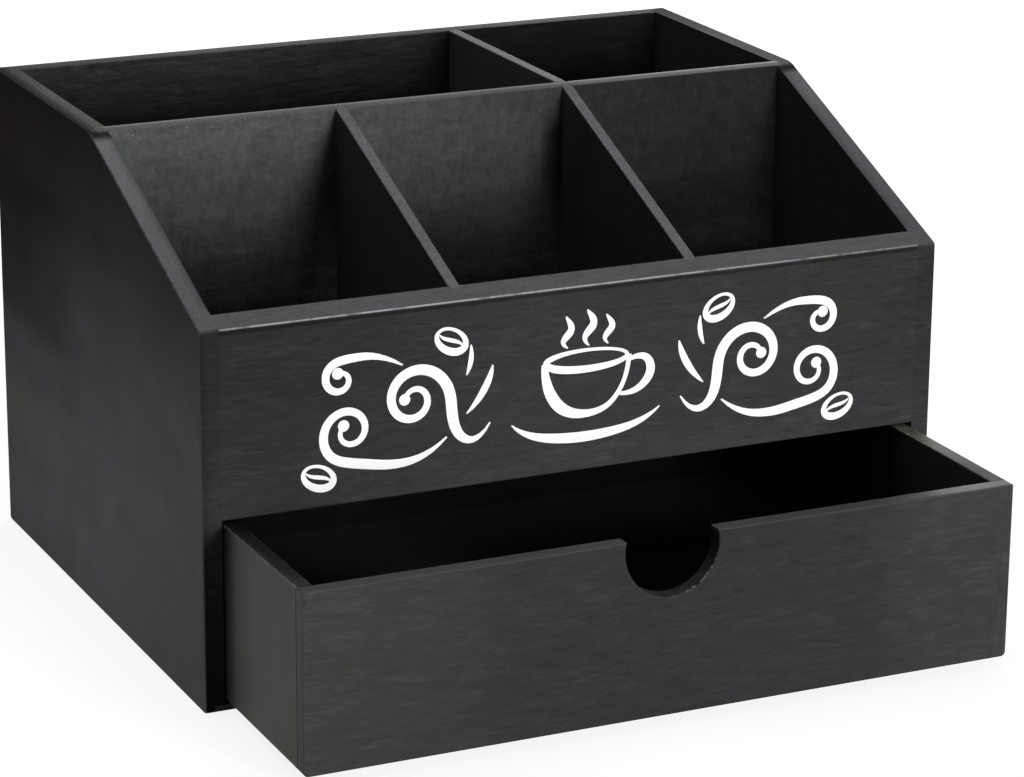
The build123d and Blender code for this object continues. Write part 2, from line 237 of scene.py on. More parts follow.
# %% [markdown]
# The paint is a thin black coat, brushed on wood. Close up it is not one black: the brush leaves long level
# streaks on the faces, the coat is cloudy where it went on thick and thin, the sawn top edges take it paler
# and grainier, and every corner that hands and sandpaper reach has a greyer line. Part of the paleness of
# the tops is a painted sheen of the light from above, and part of each greyer line is a painted highlight.
# A picture could be laid over each board, but it would have to be fitted to every one of them. Masks by the
# way a face points and by its place do it for all. A mask says where a thing happens and a factor how much,
# so first come the helpers that bring the two together.


# %% Factors
def product(tree, *factors):
    total = factors[0]
    for factor in factors[1:]:
        total = calc(tree, "MULTIPLY", total, factor)
    return total


def mixed(tree, share, low, high):
    """A number between two others."""
    return calc(tree, "MULTIPLY_ADD", calc(tree, "SUBTRACT", high, low), share, low)


def only_on(tree, mask, factor):
    """The factor where the mask is 1, and 1 elsewhere."""
    return calc(tree, "ADD", product(tree, calc(tree, "SUBTRACT", factor, 1.0), mask), 1.0)


def swing_of(tree, noise, amount):
    """A factor round 1 that noise moves up and down; 1 is a strong swing."""
    return calc(tree, "MULTIPLY_ADD", calc(tree, "SUBTRACT", noise, 0.5), 4 * amount, 1.0)


# %% [markdown]
# The wood takes paint in other ways on a face, on a sawn top and on a rounded arris. The corners
# are too fine to be boards of their own, but the way the surface points tells them apart: on a
# flat face it looks straight along an axis or square off the slope, and on a rounding in between.
# Painting them by hand as vertex colours would need far more vertices than the boards have.

# %% Masks by direction
slope_rise, slope_run = 48.5, 121.0
slope_normal = Vector((0, -slope_rise, slope_run)).normalized()
print("slope rises", round(math.degrees(math.atan2(slope_rise, slope_run)), 1), "degrees")


def face_masks(tree):
    """How much a place faces front or back, sideways or up, and how far it is on an arris."""
    normal = add(tree, "ShaderNodeNewGeometry").outputs["Normal"]
    parts = add(tree, "ShaderNodeSeparateXYZ", {0: normal}).outputs
    x, y, z = (calc(tree, "ABSOLUTE", parts[axis]) for axis in range(3))
    wires = {0: normal, 1: slope_normal}
    slope = add(tree, "ShaderNodeVectorMath", wires, operation="DOT_PRODUCT").outputs["Value"]
    # 1 on every flat face, whichever way it looks, and less on a rounded arris
    flat = calc(tree, "MAXIMUM", calc(tree, "MAXIMUM", x, y), calc(tree, "MAXIMUM", z, slope))
    upper = soft_step(tree, parts[2], 0.10, 0.35)
    return {
        "front": soft_step(tree, y, 0.70, 0.95),
        "side": soft_step(tree, x, 0.70, 0.95),
        "top": soft_step(tree, parts[2], 0.70, 0.90),
        "arris": product(tree, soft_step(tree, flat, 0.985, 0.90), upper),
        "corner": product(tree, soft_step(tree, flat, 0.998, 0.97), soft_step(tree, z, 0.35, 0.10)),
    }


# %% [markdown]
# Most marks belong to one place: a rubbed end, a dark corner of painted shade, a worn edge. Two helpers set
# them by millimetres on the object, read off as on a ruler. One starts a mark at a place, the other takes a
# factor smoothly through a row of places. A drawn picture could hold the same, but these stay sharp at any
# size and follow when a number is changed.

# %% Masks by place
inside, outside = (round(corner.x / mm, 1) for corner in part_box("right_side_panel"))
case_high = round(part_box("back_panel")[1].z / mm, 1)
print("sides", inside, "to", outside, "mm off the middle; case", case_high, "mm high")


def place_axis(tree, axis):
    place = add(tree, "ShaderNodeTexCoord").outputs["Object"]
    return add(tree, "ShaderNodeSeparateXYZ", {0: place}).outputs[axis]


def past(tree, axis, start, full):
    """A mask: 0 before one place on an axis and 1 past the other, both in millimetres."""
    return soft_step(tree, place_axis(tree, axis), start * mm, full * mm)


def along(tree, axis, *stops):
    """A factor that goes smoothly through stops, each a place in millimetres and its level."""
    low, high = stops[0][0] * mm, stops[-1][0] * mm
    value = place_axis(tree, axis) if isinstance(axis, str) else axis
    wires = {"Value": value, "From Min": low, "From Max": high}
    share = add(tree, "ShaderNodeMapRange", wires).outputs[0]
    ramp = add(tree, "ShaderNodeValToRGB", {0: share})
    keys = ramp.color_ramp
    keys.interpolation = "EASE"
    while len(keys.elements) < len(stops):
        keys.elements.new(0.5)
    for key, (spot, level) in zip(keys.elements, stops):
        key.position = (spot * mm - low) / (high - low)
    for key, (spot, level) in zip(keys.elements, stops):
        key.color = (level, level, level, 1)
    return ramp.outputs[0]


# %% [markdown]
# One function paints every board. It starts from three tones, one for each way a face can point,
# and multiplies them by noise: level strokes, blotches, clouds, grain on the sawn tops. One noise
# for all would look like stone. It takes several, each drawn out the way the brush went, to look
# like brushwork.


# %% Brushwork
def coat_noises(tree):
    """Long and short level strokes, fine ones that cross them, and the patchiness of the coat."""
    long_strokes = drawn_noise(tree, (58, 50, 400), detail=4, swirl=1.2)
    short_strokes = drawn_noise(tree, (150, 110, 900), detail=3, swirl=1.5)
    upright = drawn_noise(tree, (210, 210, 70), detail=4, rough=0.6, swirl=1.6)
    mottle = drawn_noise(tree, (240, 240, 330), detail=6, rough=0.75, swirl=0.6)
    return {
        "brush": mixed(tree, 0.45, long_strokes, short_strokes),
        "fine": mixed(tree, 0.35, mottle, upright),
        "mottle": mottle,
        "side_strokes": drawn_noise(tree, (40, 150, 26), detail=4, swirl=0.5),
        "grain": drawn_noise(tree, (1000, 1000, 1000), detail=3, rough=0.7),
        "cloud": drawn_noise(tree, (17, 17, 34), detail=4, swirl=0.7),
        "blotch": drawn_noise(tree, (55, 55, 150), detail=4, swirl=1.0),
    }


def coat_tone(tree, coat, front, side, top, strokes, cross):
    """The tone before wear: three levels by the way the face points, the paler top partly a painted sheen,
    and the noise on each.
    """
    on_side = product(tree, coat["side"], side - front)
    # the top tone is paler partly for the sawn wood and partly as a painted sheen of the light from above
    on_top = product(tree, coat["top"], top - front)
    level = calc(tree, "ADD", calc(tree, "ADD", on_side, on_top), front)
    thick = soft_step(tree, coat["blotch"], 0.36, 0.64)
    patchy = calc(tree, "MULTIPLY_ADD", thick, 5.2 * strokes, 2.0 * strokes)
    brushed = calc(tree, "SUBTRACT", coat["brush"], 0.5)
    brushed = calc(tree, "MULTIPLY_ADD", product(tree, patchy, coat["front"]), brushed, 1.0)
    return product(
        tree, level, brushed,
        only_on(tree, coat["front"], swing_of(tree, coat["blotch"], 0.11)),
        only_on(tree, coat["front"], swing_of(tree, coat["fine"], cross)),
        only_on(tree, coat["side"], swing_of(tree, coat["side_strokes"], 0.055)),
        only_on(tree, coat["side"], swing_of(tree, coat["mottle"], 0.035)),
        only_on(tree, coat["top"], swing_of(tree, coat["grain"], 0.22)),
        swing_of(tree, coat["cloud"], 0.10),
    )


# %% [markdown]
# The coat is nearly matt, so it gets a faint gloss and a fine bump along the strokes rather than
# a clear coat. Some patches lean to lilac and some to olive. Copying the whole graph for each
# board would be easy, but a change would then have to be made many times. So two openings let a
# board add marks and a tint of its own to the one graph.

# %% Painted wood
least_tone = 0.003
paint_roughness, roughness_swing = 0.58, 0.25
bump_depth, bump_strength = 0.08 * mm, 0.3
lilac_patch, olive_patch = (1.01, 0.975, 1.05), (1.01, 1.01, 0.94)


def painted_wood(name, front, side, top, strokes=0.30, cross=0.0, gloss=0.02, arris_tone=0.075,
                 corner_lift=1.0, own_marks=None, own_tint=None):
    """Black paint; front, side and top are its tone on faces that point those ways."""
    made, tree = new_finish(name)
    coat = face_masks(tree) | coat_noises(tree)
    tone = coat_tone(tree, coat, front, side, top, strokes, cross)
    # the corner lift paints light onto rounded upright corners: a painted highlight
    tone = product(tree, tone, only_on(tree, coat["corner"], corner_lift))
    # the pale upper arrises are partly rubbed paint and partly a painted highlight
    arris_wear_and_highlight = product(tree, coat["arris"], soft_step(tree, coat["grain"], 0.35, 0.65))
    tone = calc(tree, "MULTIPLY_ADD", arris_wear_and_highlight, arris_tone - front, tone)
    if own_marks:
        tone = own_marks(tree, tone, coat)
    tone = calc(tree, "MAXIMUM", tone, least_tone)
    patches = drawn_noise(tree, (24, 24, 30), detail=3, swirl=0.5)
    hue = mix_tone(tree, soft_step(tree, patches, 0.40, 0.66), grey(1.0), lilac_patch)
    hue = mix_tone(tree, soft_step(tree, patches, 0.36, 0.26), hue, olive_patch)
    if own_tint:
        hue = own_tint(tree, hue, coat)
    colour = add(tree, "ShaderNodeVectorMath", {0: hue, "Scale": tone}, operation="SCALE").outputs[0]
    height = calc(tree, "MULTIPLY_ADD", coat["brush"], coat["front"], product(tree, coat["grain"], 0.3))
    wires = {"Height": height, "Distance": bump_depth, "Strength": bump_strength}
    bump = add(tree, "ShaderNodeBump", wires).outputs[0]
    cloudy = calc(tree, "SUBTRACT", coat["cloud"], 0.5)
    roughness = calc(tree, "MULTIPLY_ADD", cloudy, roughness_swing, paint_roughness)
    wires = {"Base Color": colour, "Roughness": roughness, "Specular IOR Level": gloss, "Normal": bump}
    shader = add(tree, "ShaderNodeBsdfPrincipled", wires)
    add(tree, "ShaderNodeOutputMaterial", {"Surface": shader.outputs[0]})
    return made


def put_on(finish, *names):
    for name in names:
        boards[name].data.materials.clear()
        boards[name].data.materials.append(finish)
    print(finish.name, "on", len(names), "boards")


# %% [markdown]
# The case was put together first and then painted, so its front shows no joint: the front panel and the
# front edges of the two sides must share one set of strokes and clouds. Painting them apart and matching
# the ends would be slow. Here they match by themselves, because the noise and the listed clouds read the
# place on the case and not the board.
# Those clouds also hold painted shade: the front is darkest down its left edge, and the drawer's painted
# shadow lies on the foot of that edge.

# %% Tone and painted shade of the case's front
front_face_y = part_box("front_panel")[0].y
# the top tone is the paler one, partly a painted sheen of the light from above
case_tones = {"front": 0.036, "side": 0.032, "top": 0.060}
print("front face at", round(front_face_y / mm, 1), "mm, tones", case_tones)


def front_tone_and_drawer_shadow(tree, coat):
    """The tone of the whole front by place, with painted shade down its left edge and the drawer's painted
    shadow on its foot.
    """
    outer_face = past(tree, "Y", front_face_y / mm + 4, front_face_y / mm + 3)
    # painted shade down the left edge; elsewhere the tone varies from end to end
    by_x = along(tree, "X", (-outside, 0.50), (-152.5, 0.62), (-151, 0.70), (-135, 0.71), (-95, 0.80),
                 (-20, 1.02), (45, 1.02), (92, 0.97), (130, 0.85), (outside, 0.86))
    by_z = along(tree, "Z", (76, 1.14), (110, 1.01), (140, 0.91), (case_high, 0.91))
    # the drawer's painted shadow on the foot of the case's left edge
    left_foot = along(tree, "Z", (0, 0.30), (30, 0.50), (60, 0.72), (80, 1.0), (case_high, 1.0))
    clouds = product(tree, by_x, by_z, only_on(tree, past(tree, "X", -145, -147), left_foot))
    return only_on(tree, product(tree, coat["front"], outer_face), clouds)


# %% [markdown]
# The big faces of the sides and the back differ by where a brush and the light could reach, and the shade
# is painted into their tone. The left side's outer face goes dark towards its upper rear corner, a painted
# shade. The back's inner face is streaky on the left and has painted shade on the right, in the small rear
# compartment, and the right side's inner face is painted a little darker. Each face could have its own
# material, but then a board would carry several. One material that knows the faces is simpler.


# %% Outer and inner faces
def back_inside(tree, coat):
    """A mask of the back panel's inner face."""
    return product(tree, coat["front"], past(tree, "Y", 100, 105), past(tree, "Y", 115, 113))


def right_inside(tree, coat):
    """A mask of the right side's inner face."""
    return product(tree, coat["side"], past(tree, "X", 0, 100), past(tree, "X", 149, 148))


def left_side_shade(tree, coat):
    """Painted shade on the left side's outer face: darker at its foot, at its top and towards the rear."""
    left_face = product(tree, coat["side"], past(tree, "X", -150, -152))
    by_z = along(tree, "Z", (0, 0.76), (30, 0.82), (70, 0.92), (110, 1.06), (135, 1.00), (160, 0.72),
                 (185, 0.60), (case_high, 0.50))
    above_foot = along(tree, "Z", (55, 0.0), (85, 0.35), (105, 0.95), (150, 1.0), (175, 0.6),
                       (case_high, 0.5))
    by_y = along(tree, "Y", (-120, 1.0), (-50, 0.92), (0, 0.78), (60, 0.48), (90, 0.40), (120, 0.40))
    return product(tree, only_on(tree, left_face, by_z),
                   only_on(tree, product(tree, left_face, above_foot), by_y))


def inner_streaks_and_shade(tree, coat):
    """The back's inner face, streaky and then painted darker to the right as shade, and the right side's,
    painted darker as shade.
    """
    back = back_inside(tree, coat)
    # painted shade towards the small rear compartment
    by_x = along(tree, "X", (-inside, 1.0), (-60, 1.0), (20, 0.75), (60, 0.34), (inside, 0.36))
    streak_x = along(tree, "X", (-inside, 1.4), (20, 1.4), (60, 0.5), (inside, 0.5))
    streaks = calc(tree, "MULTIPLY_ADD", calc(tree, "SUBTRACT", coat["brush"], 0.5), streak_x, 1.0)
    return product(tree, only_on(tree, back, by_x), only_on(tree, back, streaks),
                   only_on(tree, right_inside(tree, coat), 0.84))


# %% [markdown]
# The tops of the sides and the back were sawn and only dabbed with paint, so they are paler and grainier
# than the faces, and part of that paleness is a painted sheen of the light from above. The level top of the
# left side is dark along its outer edge, the slopes get paler upwards, and a dark line crosses each side
# where slope and level meet. Separate strips of wood would put edges where there are none. Ramps across and
# along the tops leave them whole.


# %% Sawn tops
def sawn_tops(tree, coat):
    """The level and the sloping tops of the sides, and the top of the back."""
    wide = calc(tree, "ABSOLUTE", place_axis(tree, "X"))
    on_right = past(tree, "X", -50, 50)
    # the tops' paleness is partly a painted sheen of the light from above
    left_level = along(tree, wide, (inside, 1.65), (150, 1.55), (152.5, 0.85), (outside, 0.40))
    right_level = along(tree, wide, (inside, 2.05), (148.5, 1.70), (152, 1.65), (outside, 1.95))
    level_y = along(tree, "Y", (0, 0.90), (60, 0.95), (90, 0.75), (120, 0.65))
    level_top = product(tree, mixed(tree, on_right, left_level, right_level), level_y,
                        swing_of(tree, coat["grain"], 0.45))
    # on the slope only the inner edge is darker, from just behind the front panel on
    behind_front = past(tree, "Y", front_face_y / mm + 9, front_face_y / mm + 14)
    inner_edge = along(tree, wide, (inside, 0.60), (148.5, 0.85), (150.5, 1.0), (outside, 1.02))
    left_y = along(tree, "Y", (-120, 1.20), (-60, 1.34), (0, 1.80))
    right_y = along(tree, "Y", (-120, 1.04), (-60, 1.20), (0, 1.48))
    slope_top = product(tree, only_on(tree, behind_front, inner_edge),
                        mixed(tree, on_right, left_y, right_y))
    crease = product(tree, past(tree, "Z", 194.5, 196.2), past(tree, "Z", 197.8, 196.6))
    side_top = product(tree, mixed(tree, past(tree, "Z", 195.5, 197.0), slope_top, level_top),
                       only_on(tree, crease, 0.2))
    back_top = product(tree, swing_of(tree, coat["grain"], 0.35),
                       along(tree, "X", (-inside, 1.20), (-20, 1.85), (inside, 1.95)),
                       along(tree, "Y", (111, 0.70), (114, 0.90), (120, 1.35)))
    on_side = soft_step(tree, wide, (inside - 0.2) * mm, (inside + 0.2) * mm)
    return only_on(tree, coat["top"], mixed(tree, on_side, back_top, side_top))


# %% [markdown]
# Black paint is never quite neutral: here it is greenish, reddish or brownish by places, where
# the wood or an older coat shows through. A tint moves the colour by a few hundredths and leaves
# the tone alone, so tones and tints are kept in separate functions and can be judged one by one.


# %% Sides and back
def side_marks(tree, tone, coat):
    """All the marks and painted shade of the sides and the back."""
    return product(tree, tone, front_tone_and_drawer_shadow(tree, coat), left_side_shade(tree, coat),
                   inner_streaks_and_shade(tree, coat), sawn_tops(tree, coat))


def side_tints(tree, hue, coat):
    """Casts of colour on the back's inner face, the left side, the right rear and the slopes."""
    back = back_inside(tree, coat)
    # the left of the back's inner face is greenish
    back_left = along(tree, "X", (-inside, 1.0), (-90, 0.8), (-30, 0.3), (inside, 0.1))
    hue = mix_tone(tree, product(tree, back, back_left), hue, (0.96, 1.08, 0.92))
    # the left side's upper rear corner is reddish and its level top a little green
    corner = product(tree, coat["side"], past(tree, "X", 0, -100), past(tree, "Y", 20, 110),
                     past(tree, "Z", 120, 180))
    hue = mix_tone(tree, corner, hue, (1.16, 0.95, 0.96))
    level = product(tree, coat["top"], past(tree, "Z", 195.5, 197.0), past(tree, "X", -100, -140))
    hue = mix_tone(tree, level, hue, (0.99, 1.03, 0.97))
    # the right rear compartment is brownish, and the slopes are a little lilac
    right_rear = calc(tree, "MAXIMUM", product(tree, back, past(tree, "X", 45, 60)),
                      product(tree, right_inside(tree, coat), past(tree, "Y", 0, 10)))
    hue = mix_tone(tree, right_rear, hue, (1.07, 1.04, 0.92))
    slope = product(tree, coat["top"], past(tree, "Z", 197.0, 195.5))
    return mix_tone(tree, slope, hue, (1.0, 0.985, 1.05))


side_paint = painted_wood("side_paint", **case_tones, gloss=0.0, own_marks=side_marks,
                          own_tint=side_tints)
put_on(side_paint, "left_side_panel", "right_side_panel", "back_panel")

# %% [markdown]
# The front panel is what people see and touch first. Its long top arris has a pale, wavering line, partly
# rubbed paint and partly a painted highlight, with a thin dark one just under it, and there is one white
# nick by the left divider. The arris is a rounding of little more than a millimetre, too fine to wear down
# in the mesh, so the wear and the highlight are tone alone, held to the right height by masks.

# %% Front panel
nick_place = Vector((-47.1, -111.0, 153.1)) * mm
nick_from, nick_to = 0.6 * mm, 1.1 * mm


def front_marks(tree, tone, coat):
    """The front's clouds, the pale line of its top arris, partly wear and partly a painted highlight, the
    dark one under it, and the nick.
    """
    waver = soft_step(tree, drawn_noise(tree, (130, 10, 10), detail=3), 0.25, 0.5)
    line = product(tree, past(tree, "Z", 148.2, 149.0), past(tree, "Z", 150.6, 149.7),
                   coat["arris"], waver)
    pale = along(tree, "X", (-outside, 0.17), (-120, 0.23), (40, 0.21), (80, 0.15), (inside, 0.10))
    under = product(tree, coat["front"], past(tree, "Z", 147.0, 147.6), past(tree, "Z", 148.8, 148.4))
    top_streaks = only_on(tree, coat["top"], swing_of(tree, coat["brush"], 0.22))
    tone = product(tree, tone, front_tone_and_drawer_shadow(tree, coat), only_on(tree, under, 0.50), top_streaks)
    # the pale arris line: rubbed paint and a painted highlight
    tone = calc(tree, "MULTIPLY_ADD", line, pale, tone)
    place = add(tree, "ShaderNodeTexCoord").outputs["Object"]
    wires = {0: place, 1: nick_place}
    away = add(tree, "ShaderNodeVectorMath", wires, operation="DISTANCE").outputs["Value"]
    return calc(tree, "MULTIPLY_ADD", soft_step(tree, away, nick_to, nick_from), 0.30, tone)


def front_tints(tree, hue, coat):
    """The left of the top edge has the lilac of the slope beside it; the upper right is olive."""
    lilac = product(tree, coat["top"], past(tree, "X", 60, -120))
    hue = mix_tone(tree, lilac, hue, (1.0, 0.985, 1.045))
    olive = product(tree, coat["front"], past(tree, "X", 90, 118), past(tree, "X", 145, 125),
                    past(tree, "Z", 112, 130))
    return mix_tone(tree, olive, hue, (1.02, 1.03, 0.93))


front_paint = painted_wood("front_paint", **case_tones, own_marks=front_marks, own_tint=front_tints)
put_on(front_paint, "front_panel")

# %% [markdown]
# The long divider is the rear wall of all three front compartments. It is palest at the upper left and
# stays dark on the right. Its levels by height are painted light and shade: pale near the top, where the
# light comes in over the front panel, and darker lower down, where the small dividers keep light off it or
# send some back. A lamp in every compartment would do that too, but would spill out of it. Levels by place
# do it evenly, from whatever side the box is seen.


# %% Levels of the long divider
def divider_face(tree, coat):
    """Its front's tone from left to right, and its painted light and shade from bottom to top and low in
    the compartments.
    """
    by_x = along(tree, "X", (-inside, 1.18), (-110, 1.10), (-60, 1.06), (-45, 1.02), (0, 0.91),
                 (47, 0.79), (52, 0.92), (inside, 0.78))
    left_z = along(tree, "Z", (82, 0.78), (121, 0.80), (135, 0.60), (148, 0.77), (162, 1.04),
                   (176, 1.33), (189, 1.70), (196, 1.76))
    right_z = along(tree, "Z", (82, 1.0), (121, 0.80), (140, 0.37), (150, 0.37), (162, 0.47),
                    (185, 0.60), (196, 0.62))
    by_z = mixed(tree, past(tree, "X", 48.5, 51.5), left_z, right_z)
    # low in the compartments level strokes lie over the upright ones of the whole face
    low, high = past(tree, "Z", 157, 125), past(tree, "Z", 178, 190)
    low_strokes = swing_of(tree, coat["brush"], 0.30)
    # low_x and high_x are painted light and shade, low and high in the compartments
    low_x = along(tree, "X", (-inside, 0.86), (-85, 0.95), (-56, 2.1), (-52, 2.4), (-47, 0.76),
                  (5, 0.95), (38, 1.5), (47.4, 2.0), (52, 0.76), (80, 0.88), (120, 1.35), (inside, 2.0))
    high_x = along(tree, "X", (-50, 1.05), (-20, 0.98), (15, 0.90), (30, 0.83), (47, 0.87), (51, 1.0))
    return product(tree, by_x, by_z, only_on(tree, low, low_x), only_on(tree, low, low_strokes),
                   only_on(tree, high, high_x))


def beside_dividers(tree):
    """Painted shadows and light in the strips just left of the two front dividers: paler at the bottom,
    darker above.
    """
    first = product(tree, past(tree, "X", -68, -55), past(tree, "X", -49, -51))
    first_z = along(tree, "Z", (120, 2.0), (140, 2.2), (148, 1.9), (162, 0.9), (175, 0.9), (196, 0.93))
    second = product(tree, past(tree, "X", 36.5, 43), past(tree, "X", 51, 49))
    second_z = along(tree, "Z", (127, 1.6), (139, 1.7), (149, 1.6), (154, 1.0), (160, 0.52),
                     (168, 0.48), (177, 0.34), (187, 0.75), (196, 0.9))
    return product(tree, only_on(tree, first, first_z), only_on(tree, second, second_z))


# %% [markdown]
# Besides those levels the long divider has a few pale nicks under its top edge at the left, and a painted
# highlight along the rear of its top. Its tint changes from one compartment to the next, where the light
# comes back off other boards. The nicks could be placed one by one. The grain above a threshold, kept to
# one strip, scatters them as wear does.


# %% Long divider
def divider_marks(tree, tone, coat):
    """The face's painted light and shade, pale nicks at the upper left, and a painted highlight at the rear
    of its top.
    """
    faced = product(tree, divider_face(tree, coat), beside_dividers(tree))
    tone = product(tree, tone, only_on(tree, coat["front"], faced))
    nicks = product(tree, past(tree, "Z", 191.5, 193.0), past(tree, "X", -75, -85), coat["front"],
                    soft_step(tree, coat["grain"], 0.60, 0.68))
    tone = calc(tree, "MULTIPLY_ADD", nicks, 0.14, tone)
    # a painted highlight along the rear of the top
    crest = product(tree, along(tree, "Y", (-1.2, 0.62), (0.8, 0.80), (1.8, 1.20), (3.5, 1.85)),
                    along(tree, "X", (-inside, 1.0), (40, 0.98), (60, 1.25), (inside, 1.45)))
    return product(tree, tone, only_on(tree, coat["top"], crest))


def divider_tints(tree, hue, coat):
    """Rosy in the left compartment, cool in the others; green and olive spots under the top."""
    rosy, cool = (1.03, 0.96, 1.03), (0.99, 0.99, 1.06)
    base = mix_tone(tree, past(tree, "X", -60, -40), rosy, cool)
    high = past(tree, "Z", 172, 190)
    green = product(tree, high, past(tree, "X", -115, -135))
    base = mix_tone(tree, green, base, (0.94, 1.04, 1.00))
    olive = product(tree, high, past(tree, "X", 75, 52), past(tree, "X", 50, 52))
    base = mix_tone(tree, olive, base, (1.02, 1.02, 0.93))
    return mix_tone(tree, product(tree, coat["front"], 0.8), hue, base)


divider_paint = painted_wood("divider_paint", front=0.040, side=0.024, top=0.105, strokes=0.10,
                             cross=0.50, own_marks=divider_marks, own_tint=divider_tints)
put_on(divider_paint, "long_divider")

# %% [markdown]
# The three small dividers are thin boards with grainy sawn tops. Dust gathers low on their sides
# as single pale specks. Real grains would be thousands of loose meshes. A cell pattern gives every
# cell one speck, and a threshold on the cell's own colour keeps only a few of them.

# %% Small dividers
dust_per_metre, dust_reach, dust_tone = 230.0, (0.16, 0.06), 0.40


def small_divider_marks(tree, tone, coat):
    """Grainy tops, painted shade on one face, and the specks of dust."""
    place = add(tree, "ShaderNodeTexCoord").outputs["Object"]
    cells = add(tree, "ShaderNodeTexVoronoi", {"Vector": place, "Scale": dust_per_metre}).outputs
    cell_red = add(tree, "ShaderNodeSeparateXYZ", {0: cells["Color"]}).outputs[0]
    specks = product(tree, soft_step(tree, cells["Distance"], *dust_reach),
                     soft_step(tree, cell_red, 0.86, 0.88))
    low = past(tree, "Z", 135, 95)
    # painted shade: the second front divider's left face is the darkest, but for its end at the long one
    dark = product(tree, coat["side"], past(tree, "X", 44, 46), past(tree, "X", 50, 49),
                   past(tree, "Y", -4, -16))
    rear_top = only_on(tree, past(tree, "Y", 4, 7), 1.35)
    grainy = product(tree, swing_of(tree, coat["grain"], 0.30), rear_top)
    tone = product(tree, tone, only_on(tree, dark, 0.64), only_on(tree, coat["top"], grainy))
    return calc(tree, "MULTIPLY_ADD", product(tree, low, specks, coat["side"]), dust_tone, tone)


small_divider_paint = painted_wood("small_divider_paint", front=0.034, side=0.041, top=0.080,
                                   own_marks=small_divider_marks)
put_on(small_divider_paint, "front_divider_1", "front_divider_2", "rear_divider")

# %% [markdown]
# The finger notch was sawn after a first coat: its rim is streaky with saw marks and darkened by painted
# shade, and chipped at the lower right. A chip could be cut into the mesh, but at this size it is only a
# paler fleck, so noise above a threshold draws it inside a small window.


# %% Finger notch
def notch_rim(tree, coat):
    """A mask of the sawn rim of the finger notch, below the drawer's top edge."""
    not_front = calc(tree, "SUBTRACT", 1.0, coat["front"])
    near = soft_step(tree, calc(tree, "ABSOLUTE", place_axis(tree, "X")), 30 * mm, 28 * mm)
    return product(tree, past(tree, "Z", 73.5, 72.5), not_front, near, past(tree, "Z", 45, 50))


def saw_marks_and_shade(tree):
    saw_marks = drawn_noise(tree, (420, 900, 420), detail=3, rough=0.7)
    # the rim's painted shade: its tone cut to a third, streaked by the saw marks
    return product(tree, swing_of(tree, saw_marks, 1.0), 0.33)


def chip_mask(tree, rim):
    """Flecks on the lower right of the rim's front arris."""
    chips = soft_step(tree, drawn_noise(tree, (420, 420, 420), detail=2), 0.46, 0.56)
    return product(tree, rim, past(tree, "Y", -196.8, -197.5), past(tree, "X", -2, 8),
                   past(tree, "Z", 66, 60), chips)


# %% [markdown]
# The drawer was painted by itself, so its strokes are its own, and its front's tone is palest at both ends.
# The brush ended upright at the right end, and in short level dabs at the left one. More copies of the
# case's noise would run on unbroken from the case. Noises that are drawn out another way, and kept to the
# ends, show where the painter stopped.


# %% Drawer front
def drawer_marks(tree, tone, coat):
    """The front's tone by place, its ends, its top edge, and the rim of the notch: sawn, in painted shade
    and chipped.
    """
    by_x = along(tree, "X", (-inside, 1.09), (-110, 1.02), (-86, 0.95), (-58, 0.80), (0, 0.71),
                 (50, 0.745), (70, 0.75), (115, 0.95), (inside, 1.04))
    top_x = along(tree, "X", (-inside, 0.86), (0, 0.76), (75, 0.60), (108, 0.72), (117, 1.6),
                  (130, 2.0), (inside, 1.6))
    rim = notch_rim(tree, coat)
    upright = swing_of(tree, drawn_noise(tree, (1100, 60, 60), detail=2, swirl=0.8), 0.20)
    right_end = product(tree, coat["front"], past(tree, "X", 136, 141))
    dabs = swing_of(tree, drawn_noise(tree, (160, 60, 620), detail=2, swirl=0.8), 0.40)
    left_end = product(tree, coat["front"], past(tree, "X", -142.5, -143.5), past(tree, "Z", 35, 55))
    tone = product(tree, tone, only_on(tree, coat["front"], by_x),
                   only_on(tree, rim, saw_marks_and_shade(tree)), only_on(tree, coat["top"], top_x),
                   only_on(tree, right_end, upright), only_on(tree, left_end, dabs))
    return calc(tree, "MULTIPLY_ADD", chip_mask(tree, rim), 0.07, tone)


def drawer_tints(tree, hue, coat):
    """A lilac cast in the middle of the drawer's front, a brown one at its lower right."""
    lilac_x = along(tree, "X", (-inside, 0.2), (-40, 0.9), (30, 0.6), (inside, 0.5))
    lilac_z = along(tree, "Z", (4, 0.3), (45, 1.0), (75, 0.6))
    lilac = product(tree, coat["front"], lilac_x, lilac_z)
    hue = mix_tone(tree, lilac, hue, (1.0, 0.98, 1.04))
    brown = product(tree, coat["front"], past(tree, "X", 139, 143), past(tree, "Z", 40, 15))
    return mix_tone(tree, brown, hue, (1.09, 0.99, 0.98))


drawer_paint = painted_wood("drawer_paint", front=0.040, side=0.0235, top=0.048, strokes=0.24,
                            arris_tone=0.058, corner_lift=1.1, own_marks=drawer_marks,
                            own_tint=drawer_tints)
put_on(drawer_paint, "drawer_front")

# %% [markdown]
# The drawer's walls are nearly black inside. Their rims were sawn, not planed: the right one is the
# roughest and shows yellowish wood through the black, and the left one is rubbed near the front. Outside,
# the walls get darker towards the back, where they slide into the case and its shade falls on them. A lamp
# can add light there but not take it away, so the coat itself carries that painted shade.


